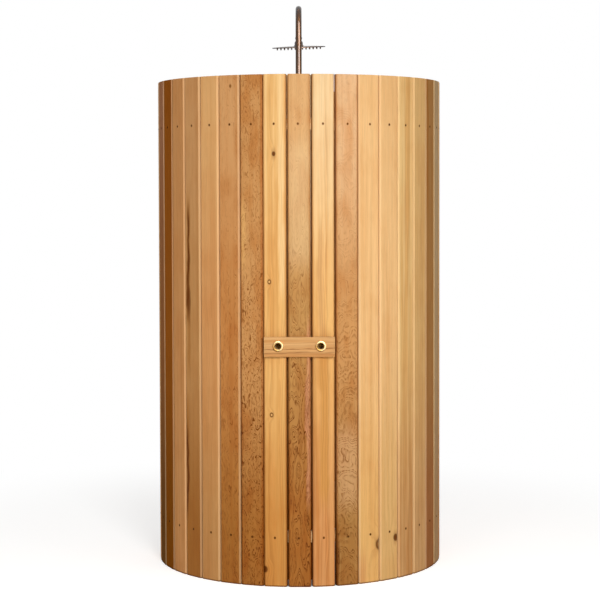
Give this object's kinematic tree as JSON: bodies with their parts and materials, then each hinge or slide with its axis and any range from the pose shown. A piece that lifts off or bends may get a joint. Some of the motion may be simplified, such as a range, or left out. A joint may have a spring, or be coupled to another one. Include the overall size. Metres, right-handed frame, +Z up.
{
  "type": "outdoor shower cabin",
  "caption": "Round outdoor shower cabin of upright cedar staves on two hoops, open-topped with a doorway gap, a gooseneck pipe and a swivelling rain head.",
  "frame": {"origin": "middle of the footprint, on the ground; the wall's own axis stands 11.4 mm behind it", "axes": "+Z up, -Y out through the plumbing side, +X to the right seen from the plumbing side, the doorway at the left rear, between -X and +Y"},
  "size_m": [1.084, 1.1072, 2.094],
  "materials": {
    "cedar": "planed western red cedar, clear oiled, each stave a shade of its own",
    "hoop_cedar": "planed pale cedar",
    "board_cedar": "planed cedar with the grain lengthwise",
    "brass": "turned bare brass",
    "bronze": "oil-rubbed dark bronze, semi-gloss"
  },
  "bodies": {
    "cabin": {"stave_01": "cedar", "stave_02": "cedar", "stave_03": "cedar", "stave_04": "cedar", "stave_05": "cedar", "stave_06": "cedar", "stave_07": "cedar", "stave_08": "cedar", "stave_09": "cedar", "stave_10": "cedar", "stave_11": "cedar", "stave_12": "cedar", "stave_13": "cedar", "stave_14": "cedar", "stave_15": "cedar", "stave_16": "cedar", "stave_17": "cedar", "stave_18": "cedar", "stave_19": "cedar", "stave_20": "cedar", "stave_21": "cedar", "stave_22": "cedar", "stave_23": "cedar", "stave_24": "cedar", "stave_25": "cedar", "stave_26": "cedar", "stave_27": "cedar", "stave_28": "cedar", "stave_29": "cedar", "stave_30": "cedar", "stave_31": "cedar", "bottom_hoop": "hoop_cedar", "top_hoop": "hoop_cedar", "riser_board": "board_cedar", "supply_board": "board_cedar", "hot_inlet": "brass", "cold_inlet": "brass", "supply_unions": "brass", "mixer_body": "bronze", "hot_handle": "bronze", "cold_handle": "bronze", "shower_pipe": "bronze", "pipe_bracket": "bronze", "ball_connector": "bronze"},
    "head": {"swivel_nut": "bronze", "rain_head": "bronze"}
  },
  "joints": [
    {"name": "head_tilt", "type": "hinge", "parent": "cabin", "child": "head", "pos_m": [0, -0.1407, 1.9732], "axis": [1, 0, 0], "range_deg": [-7, 40]}
  ]
}
